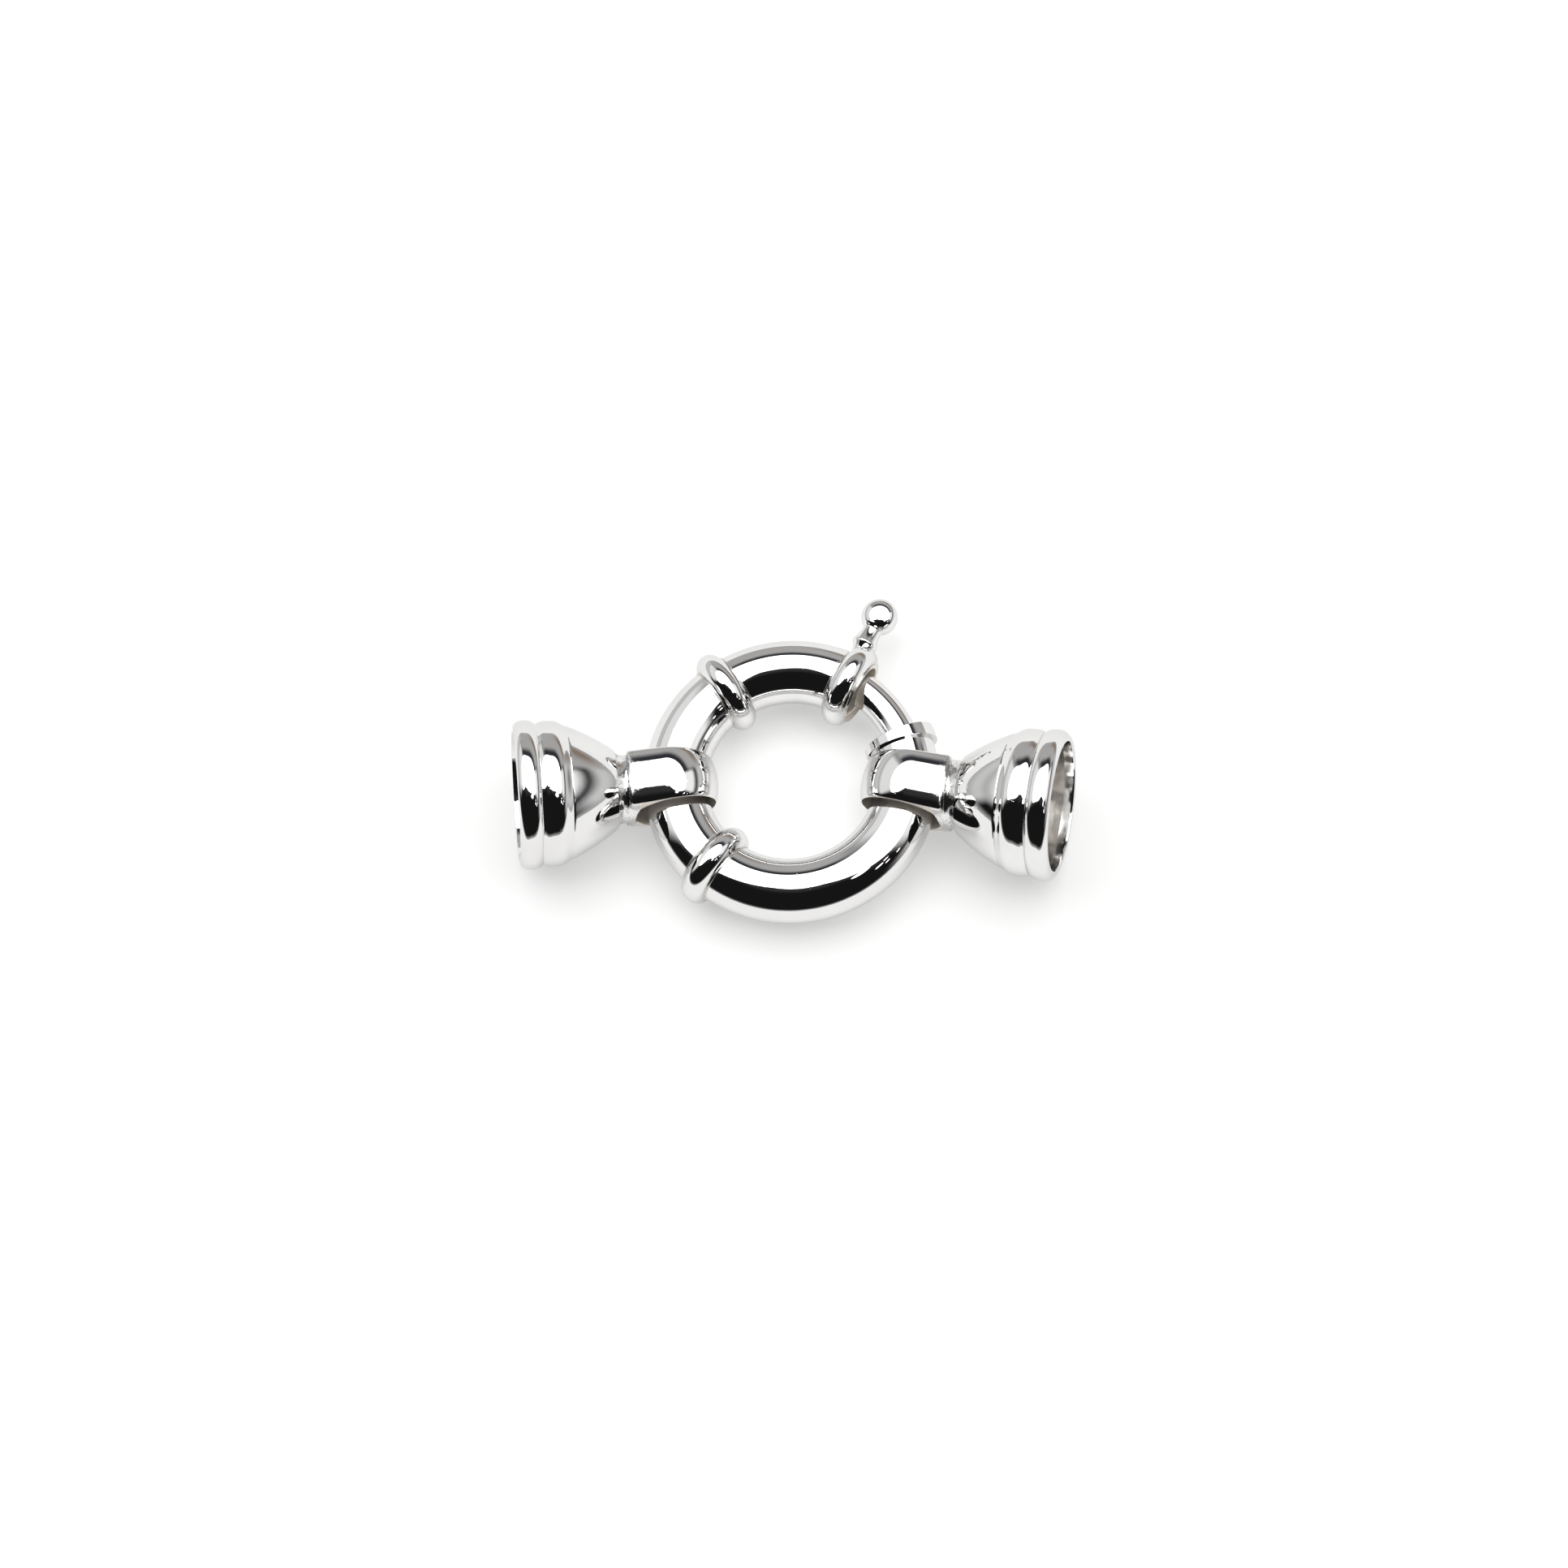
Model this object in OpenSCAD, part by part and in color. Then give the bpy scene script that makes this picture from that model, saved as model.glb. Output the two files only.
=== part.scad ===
// Spring ring clasp with a bell end cap linked to each side, lying flat.
// The origin is the centre of the ring, Z is the ring's axis and the caps lie along X.
// Angles round the ring are counted from +X towards +Y. Sizes are in millimetres.

/* [Ring tube] */
// Radius of the ring, to the middle of its tube
ring_r = 7.05; // [6.8:0.05:7.5]
// Outer diameter of the ring's tube
tube_d = 3.9; // [3.8:0.05:4.0]
// Wall thickness of the ring's tube
tube_wall = 0.25; // [0.2:0.01:0.3]
// Angle of the open end where the bolt comes out
mouth_angle = 54; // [50:1:56]
// Angle of the open end that receives the bolt
receiver_angle = 21.5; // [18:0.5:24]

/* [Collars] */
// Angle of the collar at the bolt's mouth
mouth_collar_angle = 60; // [59:0.5:61]
// Angle of the upper left collar
upper_collar_angle = 126; // [124:1:140]
// Angle of the lower left collar
lower_collar_angle = 231; // [220:1:300]
// How far a collar stands out from the tube
collar_proud = 0.7; // [0.4:0.05:0.7]
// Radius of a collar's half-round section
collar_section_r = 0.82; // [0.7:0.01:0.85]
// How far the receiver sleeve stands out from the tube
sleeve_proud = 0.28; // [0.2:0.01:0.32]
// Angle that the receiver sleeve covers, back from the open end
sleeve_span = 5.5; // [4:0.5:6]
// Gap between the tube and the rings fixed round it
fixing_gap = 0.02; // [0.01:0.01:0.04]

/* [Bolt and trigger] */
// Diameter of the bolt
bolt_d = 2.1; // [1.9:0.05:2.2]
// How far the bolt runs outside the middle of the tube
bolt_offset = 0.2; // [0:0.05:0.3]
// Diameter of the flat end of the bolt's tapered tip
bolt_tip_d = 1.2; // [1:0.1:1.6]
// Length of the bolt's tapered tip
bolt_tip_l = 0.5; // [0.3:0.1:0.8]
// How far the closed bolt's tip reaches into the receiver, in degrees round the ring
bolt_engagement = 8; // [4:1:10]
// Angle of the trigger with the bolt closed
trigger_angle = 63.5; // [62.5:0.5:64]
// How far the bolt runs on behind the trigger, in degrees round the ring
bolt_tail = 12; // [10:1:20]
// How far the bolt turns back to open the ring
bolt_travel = 42; // [30:1:44]
// Diameter of the peg that holds the trigger in the bolt
peg_d = 1.0; // [0.8:0.05:1.05]
// How deep the peg sits below the middle of the bolt
peg_depth = 0.5; // [0.2:0.05:0.6]
// Clearance round the peg in the bolt
peg_clearance = 0.02; // [0.01:0.01:0.04]
// Gap on each side of the peg in the housing's slot
slot_gap = 0.15; // [0.1:0.01:0.2]
// Diameter of the trigger's stem at its foot
stem_foot_d = 1.75; // [1.4:0.05:1.9]
// Diameter of the trigger's stem below the ball
stem_neck_d = 1.2; // [1.0:0.05:1.3]
// Gap between the collar and the stem's foot
stem_gap = 0.12; // [0.1:0.01:0.3]
// Diameter of the ball knob
ball_d = 2.3; // [2.2:0.05:2.6]
// Distance from the ring's centre to the ball's centre
ball_r = 12; // [11.8:0.05:12.4]

/* [Bails] */
// Inner radius of a bail's loop
loop_hole_r = 2.48; // [2.45:0.01:2.5]
// Thickness of the strap at its middle, over the top of the tube
strap_t = 0.46; // [0.44:0.01:0.52]
// How much thinner the strap is inside the ring, and thicker at the cap
strap_shift = 0.18; // [0.1:0.02:0.2]
// Radius of the domed outside across the strap
strap_dome_r = 4; // [3.6:0.1:5]
// Width of the strap where it passes inside the ring
strap_tip_w = 1.9; // [1.5:0.1:2.2]
// Width of the strap over the top of the tube
strap_crown_w = 3.1; // [2.6:0.05:3.2]
// Width of the strap where it meets the root
strap_root_w = 3.6; // [3.2:0.1:3.8]
// Width of the soldered root at the cap
root_w = 4.1; // [3.8:0.1:4.3]
// Distance from the loop's centre to the cap's closed end
root_reach = 3.5; // [3.4:0.05:4]

/* [Bell caps] */
// Length of a bell from its closed end to its mouth
bell_length = 6; // [5.9:0.1:8]
// Outer radius of a bell at its closed end
bell_end_r = 2.4; // [2:0.05:2.8]
// Outer radius of the bell's body at the step before the beads
bell_step_r = 4.03; // [3.9:0.01:4.1]
// Radius of the curve along the bell's body
bell_curve_r = 4.5; // [3:0.1:9]
// Wall thickness of the bell's body
bell_wall = 0.35; // [0.25:0.01:0.4]
// Radius of the straight bore inside the mouth
cup_r = 3.85; // [3.6:0.05:3.9]
// Depth of the straight bore
cup_depth = 3; // [2.4:0.1:3.1]
// Outer radius of the two beads
bead_r = 4.5; // [4.45:0.05:4.6]
// Radius of a bead's round section
bead_section_r = 0.8; // [0.75:0.01:0.82]
// Radius of the floor of the groove between the beads
groove_r = 4.15; // [4.1:0.05:4.2]

/* [Lie] */
// How far the left cap has slid down the ring, in degrees round the ring
left_slide = 4; // [2:0.5:5]
// How far the right cap has slid down the ring, in degrees round the ring
right_slide = 5.5; // [5:0.5:7]
// Turn of the left cap towards the front, in degrees
left_yaw = 8; // [4:0.5:8]
// Turn of the right cap towards the front, in degrees
right_yaw = 11; // [4:0.5:12]
// How far the left cap is drawn outwards on the tube
left_draw = 0.14; // [0:0.02:0.16]
// Height of the bail loops' centres above the middle of the ring's tube
loop_lift = 0.2; // [0.16:0.01:0.22]

/* [Hidden] */
$fn = 96;
silver = [0.86, 0.86, 0.87];
tube_r = tube_d / 2;
bore_r = tube_r - tube_wall;
bolt_ring_r = ring_r + bolt_offset;
bolt_tip_angle = receiver_angle - bolt_engagement;
slot_w = peg_d + 2 * slot_gap;
// How far the slot runs on past the peg's middle at each end, in degrees round the ring
slot_end = asin(slot_w / 2 / (ring_r + bore_r));
// Reach of a cutting shape past the metal that it cuts
past = 1;
collar_r = tube_r + collar_proud;
collar_centre_r = collar_r - collar_section_r;
sleeve_r = tube_r + sleeve_proud;
stem_foot_r = ring_r + collar_r + stem_gap;
loop_outer_r = loop_hole_r + strap_t;
bead_centre_r = bead_r - bead_section_r;
lip_bead_x = root_reach + bell_length - bead_section_r;
second_bead_x = lip_bead_x - 2 * bead_section_r;
bell_step_x = second_bead_x - bead_section_r;
mouth_x = root_reach + bell_length;
// The cap tips up until its second bead and the bottom of its loop are level
contact_span = [second_bead_x - strap_shift, bead_centre_r];
rest_pitch = atan(contact_span[1] / contact_span[0])
    - asin((loop_outer_r - bead_section_r) / norm(contact_span));
// Centre of the circle of radius r through a and b, on the left of the way from a to b
function arc_centre(a, b, r) =
    let (along = (b - a) / norm(b - a), half = norm(b - a) / 2)
    (a + b) / 2 + [-along[1], along[0]] * sqrt(r * r - half * half);

// Turns its children, drawn round +Z with the tube's middle at the origin, to an angle round the ring
module at_ring_angle(angle) {
    rotate([0, 0, angle]) translate([ring_r, 0, 0]) rotate([90, 0, 0]) children();
}

// A length of round bar bent to the ring, from one angle to another
module bent_bar(middle_r, bar_r, from_angle, to_angle) {
    rotate([0, 0, from_angle])
        rotate_extrude(angle = to_angle - from_angle)
            translate([middle_r, 0]) circle(r = bar_r);
}

// A whole torus of the tube's outer size, to fit the collars to the tube
module tube_space() {
    rotate_extrude() translate([ring_r, 0]) circle(r = tube_r + fixing_gap);
}

// The path of the trigger's peg through the outer wall
module trigger_slot() {
    rotate([0, 0, trigger_angle - slot_end])
        rotate_extrude(angle = bolt_travel + 2 * slot_end)
            translate([ring_r + collar_section_r, -slot_w / 2]) square([collar_r + past, slot_w]);
}

module ring_tube() {
    color(silver) difference() {
        bent_bar(ring_r, tube_r, mouth_angle, receiver_angle + 360);
        bent_bar(ring_r, bore_r, mouth_angle - past, receiver_angle + 360 + past);
        trigger_slot();
    }
}

// A half-round ring fitted round the tube
module collar(angle) {
    color(silver) difference() {
        at_ring_angle(angle)
            rotate_extrude()
                intersection() {
                    translate([collar_centre_r, 0]) circle(r = collar_section_r);
                    translate([bore_r, -past]) square([collar_r, 2 * past]);
                }
        tube_space();
    }
}

module collar_upper_left() {
    collar(upper_collar_angle);
}

module collar_lower_left() {
    collar(lower_collar_angle);
}

// The collar at the bolt's mouth, notched so that the trigger's peg can rest in it
module mouth_collar() {
    difference() {
        collar(mouth_collar_angle);
        trigger_slot();
    }
}

module receiver_sleeve() {
    color(silver) difference() {
        bent_bar(ring_r, sleeve_r, receiver_angle - sleeve_span, receiver_angle);
        tube_space();
    }
}

module bolt() {
    color(silver) difference() {
        union() {
            bent_bar(bolt_ring_r, bolt_d / 2, bolt_tip_angle, trigger_angle + bolt_tail);
            rotate([0, 0, bolt_tip_angle]) translate([bolt_ring_r, 0, 0])
                rotate([90, 0, 0]) cylinder(d1 = bolt_d, d2 = bolt_tip_d, h = bolt_tip_l);
        }
        rotate([0, 0, trigger_angle]) translate([bolt_ring_r - peg_depth, 0, 0])
            rotate([0, 90, 0]) cylinder(r = peg_d / 2 + peg_clearance, h = bolt_d);
    }
}

module trigger() {
    peg_start = bolt_ring_r - peg_depth + peg_clearance;
    color(silver) rotate([0, 0, trigger_angle]) rotate([0, 90, 0]) {
        translate([0, 0, peg_start]) cylinder(d = peg_d, h = stem_foot_r - peg_start);
        translate([0, 0, stem_foot_r])
            cylinder(d1 = stem_foot_d, d2 = stem_neck_d, h = ball_r - stem_foot_r);
        translate([0, 0, ball_r]) sphere(d = ball_d);
    }
}

// The loop of domed strap, narrow inside the ring and wide at the cap, with its hole along Y
module bail_loop() {
    tip = [-loop_outer_r - past, strap_tip_w / 2];
    crown = [0, strap_crown_w / 2];
    root = [loop_outer_r, strap_root_w / 2];
    difference() {
        intersection() {
            translate([strap_shift, 0, 0]) rotate([90, 0, 0]) rotate_extrude()
                intersection() {
                    translate([loop_outer_r - strap_dome_r, 0]) circle(r = strap_dome_r);
                    translate([0, -strap_root_w / 2]) square([loop_outer_r, strap_root_w]);
                }
            linear_extrude(2 * loop_outer_r + past, center = true)
                polygon([tip, crown, root, [root[0], -root[1]], [crown[0], -crown[1]], [tip[0], -tip[1]]]);
        }
        loop_hole(loop_hole_r);
    }
}

// The hole that the tube passes through
module loop_hole(r) {
    rotate([90, 0, 0]) cylinder(r = r, h = 2 * root_w, center = true);
}

// The round neck of strap and solder that joins the loop to the cap's closed end
module bail_root() {
    difference() {
        rotate([0, 90, 0]) cylinder(d = root_w, h = root_reach + bell_wall / 2);
        loop_hole(loop_hole_r + strap_t / 2);
        translate([-root_w / 2, 0, 0]) cube([root_w, 2 * root_w, 2 * root_w], center = true);
    }
}

// The bell's half section, with the cap's axis along the drawing's Y and radii along its X
module bell_section() {
    end_corner = [bell_end_r, root_reach];
    step_corner = [bell_step_r, bell_step_x];
    curve_centre = arc_centre(end_corner, step_corner, bell_curve_r);
    cup_floor_x = mouth_x - cup_depth;
    difference() {
        union() {
            intersection() {
                translate(curve_centre) circle(r = bell_curve_r, $fn = 360);
                translate([0, root_reach]) square([bell_step_r, bell_step_x - root_reach]);
            }
            translate([0, bell_step_x - past / 2]) square([bell_step_r, past]);
            translate([0, bell_step_x]) square([groove_r, lip_bead_x - bell_step_x]);
            for (x = [second_bead_x, lip_bead_x])
                translate([bead_centre_r, x]) circle(r = bead_section_r);
        }
        intersection() {
            translate(curve_centre) circle(r = bell_curve_r - bell_wall, $fn = 360);
            translate([0, root_reach + bell_wall]) square([bell_step_r, cup_floor_x - root_reach]);
        }
        translate([0, cup_floor_x]) square([cup_r, cup_depth + past]);
    }
}

// A cap with its loop's centre at the origin and its mouth towards +X
module end_cap() {
    color(silver) union() {
        rotate([0, 90, 0]) rotate_extrude() bell_section();
        bail_root();
        bail_loop();
    }
}

// Lays a cap down: slid round the ring, turned to the front and tipped up on its second bead
module end_cap_left() {
    rotate([0, 0, 180 + left_slide]) translate([ring_r + left_draw, 0, loop_lift])
        rotate([0, 0, left_yaw - left_slide]) rotate([0, -rest_pitch, 0]) end_cap();
}

module end_cap_right() {
    rotate([0, 0, -right_slide]) translate([ring_r, 0, loop_lift])
        rotate([0, 0, right_slide - right_yaw]) rotate([0, -rest_pitch, 0]) end_cap();
}

ring_tube();
collar_upper_left();
collar_lower_left();
mouth_collar();
receiver_sleeve();
bolt();
trigger();
end_cap_left();
end_cap_right();
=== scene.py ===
import math
import bpy
import bmesh
import numpy as np
from mathutils import Matrix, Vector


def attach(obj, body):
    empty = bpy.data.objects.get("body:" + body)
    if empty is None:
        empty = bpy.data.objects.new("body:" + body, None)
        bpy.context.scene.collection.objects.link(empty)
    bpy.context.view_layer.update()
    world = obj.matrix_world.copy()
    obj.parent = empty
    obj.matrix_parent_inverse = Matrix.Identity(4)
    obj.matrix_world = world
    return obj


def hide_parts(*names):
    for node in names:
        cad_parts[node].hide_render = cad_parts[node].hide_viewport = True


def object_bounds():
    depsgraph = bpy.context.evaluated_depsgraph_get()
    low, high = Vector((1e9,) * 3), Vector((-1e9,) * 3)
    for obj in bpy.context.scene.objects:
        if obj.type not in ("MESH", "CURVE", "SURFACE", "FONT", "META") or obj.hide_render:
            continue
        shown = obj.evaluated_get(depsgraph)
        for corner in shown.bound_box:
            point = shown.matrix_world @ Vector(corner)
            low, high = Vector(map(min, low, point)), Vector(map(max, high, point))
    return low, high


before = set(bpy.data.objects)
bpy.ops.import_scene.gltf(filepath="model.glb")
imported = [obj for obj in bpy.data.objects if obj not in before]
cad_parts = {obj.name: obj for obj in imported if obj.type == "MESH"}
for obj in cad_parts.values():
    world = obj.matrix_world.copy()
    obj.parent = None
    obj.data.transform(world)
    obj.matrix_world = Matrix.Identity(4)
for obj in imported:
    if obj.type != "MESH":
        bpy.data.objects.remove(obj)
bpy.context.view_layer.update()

# Ring tube: the curved hollow housing. Silver tube, drawn thin and bent to an open ring, with a slot
# milled along its outer side for the trigger. The ends are cut square and polishing rounds their rims.
MM = 0.001
RING_R = 7.05
TUBE_R = 1.95
BORE_R = 1.70
TUBE_ENDS = (54.0, 381.5)
SLOT_ENDS = (59.24, 109.76)
SLOT_HALF = 0.65
SLOT_CELLS = 14
WALL_CELLS = 82
STEPS_PER_SPREAD = 4


def polish(path, soften, count, keenness):
    """A profile rounded as polishing rounds it. The corners are joined by straight lines, the line is
    averaged along its length with a bell-shaped weight of spread soften, and count points are spread
    over it, closer together where it turns: a turn of one radian takes as many of them as a straight of
    length keenness. Both ends stay where they are."""
    path = np.asarray(path, float)
    steps = np.r_[0, np.cumsum(np.linalg.norm(np.diff(path, axis=0), axis=1))]
    fine = np.arange(0, steps[-1], soften / STEPS_PER_SPREAD)
    fine = np.r_[fine, steps[-1]]
    line = np.stack([np.interp(fine, steps, path[:, 0]), np.interp(fine, steps, path[:, 1])], axis=1)
    reach = 4 * STEPS_PER_SPREAD
    before = 2 * line[0] - line[reach:0:-1]
    after = 2 * line[-1] - line[-2:-reach - 2:-1]
    padded = np.concatenate([before, line, after])
    weight = np.exp(-0.5 * (np.arange(-reach, reach + 1) / STEPS_PER_SPREAD) ** 2)
    weight /= weight.sum()
    smooth = np.stack([np.convolve(padded[:, k], weight, mode="valid") for k in (0, 1)], axis=1)
    gaps = np.diff(smooth, axis=0)
    lengths = np.linalg.norm(gaps, axis=1)
    turns = np.abs(np.diff(np.unwrap(np.arctan2(gaps[:, 1], gaps[:, 0]))))
    effort = lengths + keenness * np.r_[turns, 0]
    travel = np.r_[0, np.cumsum(effort)]
    wanted = np.linspace(0, travel[-1], count)
    return np.stack([np.interp(wanted, travel, smooth[:, k]) for k in (0, 1)], axis=1)


def on_ring(angle, tube_angle, reach):
    """Points of a bent tube. The ring angle turns about Z, the tube angle turns from outwards towards up,
    and reach is the distance from the middle of the tube."""
    out = RING_R + reach * np.cos(tube_angle)
    return np.stack([out * np.cos(angle), out * np.sin(angle), reach * np.sin(tube_angle)], axis=-1)


def slotted_turn(reach, slot_cells, other_cells):
    """Angles round a tube, one row for each reach. The first cells lie between the two planes of the
    slot, half a slot above and below the middle, and the others share the rest of the turn."""
    edge = np.arcsin(np.clip(SLOT_HALF / reach, 0, 1))[:, None]
    in_slot = -edge + 2 * edge * np.linspace(0, 1, slot_cells + 1)[None, :-1]
    beyond = edge + (2 * np.pi - 2 * edge) * np.linspace(0, 1, other_cells + 1)[None, :-1]
    return np.concatenate([in_slot, beyond], axis=1)


def quads(a, b, c, d):
    """Four arrays of point numbers, one for each corner, as rows of four."""
    return np.stack([a.ravel(), b.ravel(), c.ravel(), d.ravel()], axis=1)


def wrapped_shell(outer, inner, cut):
    """Faces of a wall between two grids of one shape, whose columns close round. Cells marked in cut are
    left out of both, and the opening gets a side wall along each of its edges. Returns the points, with
    those of the inner grid last, and the faces as rows of four."""
    rows, columns = outer.shape[:2]
    number = np.arange(rows * columns).reshape(rows, columns)
    behind = number + rows * columns
    turned = np.roll(number, -1, axis=1)
    turned_behind = np.roll(behind, -1, axis=1)
    keep = ~cut
    faces = [
        quads(number[:-1][keep], number[1:][keep], turned[1:][keep], turned[:-1][keep]),
        quads(turned_behind[:-1][keep], turned_behind[1:][keep], behind[1:][keep], behind[:-1][keep]),
    ]
    first = keep[0]
    last = keep[-1]
    faces.append(quads(number[0][first], turned[0][first], turned_behind[0][first], behind[0][first]))
    faces.append(quads(turned[-1][last], number[-1][last], behind[-1][last], turned_behind[-1][last]))
    low_side = cut & np.roll(keep, 1, axis=1)
    high_side = cut & np.roll(keep, -1, axis=1)
    start = cut.copy()
    start[1:] &= keep[:-1]
    start[0] = False
    end = cut.copy()
    end[:-1] &= keep[1:]
    end[-1] = False
    faces.append(quads(number[:-1][low_side], number[1:][low_side],
                       behind[1:][low_side], behind[:-1][low_side]))
    faces.append(quads(turned[1:][high_side], turned[:-1][high_side],
                       turned_behind[:-1][high_side], turned_behind[1:][high_side]))
    faces.append(quads(turned[:-1][start], number[:-1][start],
                       behind[:-1][start], turned_behind[:-1][start]))
    faces.append(quads(number[1:][end], turned[1:][end], turned_behind[1:][end], behind[1:][end]))
    points = np.concatenate([outer.reshape(-1, 3), inner.reshape(-1, 3)])
    return points, np.concatenate(faces)


def metal_piece(name, body, node, shells, metal, sharp=35):
    """One mesh from closed shells, each a dictionary of points in millimetres, faces and the marks that
    the metal reads: lay, the place on the straightened piece; solder; tarnish, for walls that the
    polishing wheel does not reach; and dented, for rough casting. Points that meet are merged, and a
    shell that came out inside out by its volume is turned."""
    points = []
    faces = []
    marks = {"lay": [], "solder": [], "tarnish": [], "dented": []}
    count = 0
    for shell in shells:
        p = shell["points"]
        f = shell["faces"]
        a = p[f[:, 0]]
        volume = np.einsum("ij,ij->i", a, np.cross(p[f[:, 1]], p[f[:, 2]])).sum()
        volume += np.einsum("ij,ij->i", a, np.cross(p[f[:, 2]], p[f[:, 3]])).sum()
        if volume < 0:
            f = f[:, ::-1]
        points.append(p)
        faces.append(f + count)
        count += len(p)
        marks["lay"].append(shell.get("lay", p))
        for key in ("solder", "tarnish", "dented"):
            marks[key].append(shell.get(key, np.zeros(len(p))))
    points = np.concatenate(points) * MM
    faces = np.concatenate(faces)
    mesh = bpy.data.meshes.new(name)
    mesh.from_pydata(points.tolist(), [], faces.tolist())
    lay = mesh.attributes.new("lay", "FLOAT_VECTOR", "POINT")
    lay.data.foreach_set("vector", np.concatenate(marks["lay"]).astype(np.float32).ravel())
    for key in ("solder", "tarnish", "dented"):
        mark = mesh.attributes.new(key, "FLOAT", "POINT")
        mark.data.foreach_set("value", np.concatenate(marks[key]).astype(np.float32))
    work = bmesh.new()
    work.from_mesh(mesh)
    bmesh.ops.remove_doubles(work, verts=work.verts, dist=2e-8)
    bmesh.ops.dissolve_degenerate(work, edges=work.edges, dist=1e-9)
    work.to_mesh(mesh)
    work.free()
    mesh.shade_smooth()
    mesh.set_sharp_from_angle(angle=math.radians(sharp))
    mesh.materials.append(metal)
    piece = bpy.data.objects.new(name, mesh)
    bpy.context.collection.objects.link(piece)
    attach(piece, body)
    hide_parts(node)


SILVER_DARKER = (0.745, 0.740, 0.732)
SILVER_LIGHTER = (0.795, 0.793, 0.790)
SILVER_EDGE = (0.84, 0.84, 0.84)
TARNISH_WARM = (0.90, 0.83, 0.74)
SOLDER_SOOT = (0.36, 0.35, 0.34)
RUB_STRETCH = {"x": (0.25, 9.0, 9.0), "round x": (9.0, 0.25, 0.25), "none": (5.0, 5.0, 5.0)}
DENT_HEIGHT = 150.0
PEEL_HEIGHT = 0.7
PIT_DEPTH = 1.2


def node_sum(tree, operation, first, second=0.0):
    """One sum of two values in a node tree, where each is a number or another node's output."""
    node = tree.nodes.new("ShaderNodeMath")
    node.operation = operation
    for socket, value in zip(node.inputs, (first, second)):
        if isinstance(value, (int, float)):
            socket.default_value = value
        else:
            tree.links.new(value, socket)
    return node.outputs[0]


def node_blend(tree, factor, first, second):
    """Two colours blended by factor in a node tree, where each is a tuple or another node's output."""
    node = tree.nodes.new("ShaderNodeMix")
    node.data_type = "RGBA"
    tree.links.new(factor, node.inputs["Factor"])
    for socket, value in ((node.inputs["A"], first), (node.inputs["B"], second)):
        if isinstance(value, tuple):
            socket.default_value = (*value, 1.0)
        else:
            tree.links.new(value, socket)
    return node.outputs["Result"]


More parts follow.
